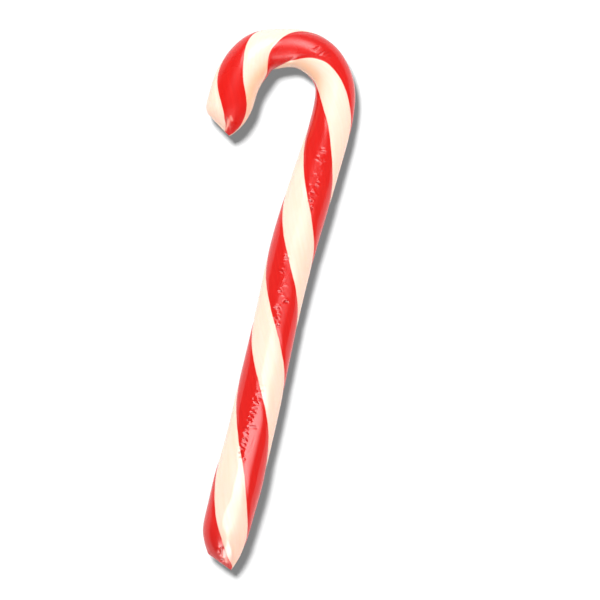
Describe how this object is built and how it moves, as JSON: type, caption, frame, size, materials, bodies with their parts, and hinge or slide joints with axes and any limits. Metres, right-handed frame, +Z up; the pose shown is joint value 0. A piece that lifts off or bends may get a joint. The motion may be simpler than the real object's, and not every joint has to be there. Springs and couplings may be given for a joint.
{
  "type": "candy cane",
  "caption": "Hooked stick of twisted red and white boiled sugar, lying on a narrow flat; the crook hangs over a branch, a rim or a finger.",
  "frame": {"origin": "under the middle of the cane's box, level with the narrow flat that the cane lies on", "axes": "+Y up the shaft towards the crook, +X to the right of the shaft, so that the crook bends over towards -X, and +Z up from the flat to the shown side"},
  "size_m": [0.0412, 0.1522, 0.0138],
  "materials": {
    "twisted_sugar": "smooth boiled sugar with a wet-looking gloss, in red and cream-white twisted stripes"
  },
  "bodies": {
    "root": {"candy_cane": "twisted_sugar"}
  },
  "joints": []
}
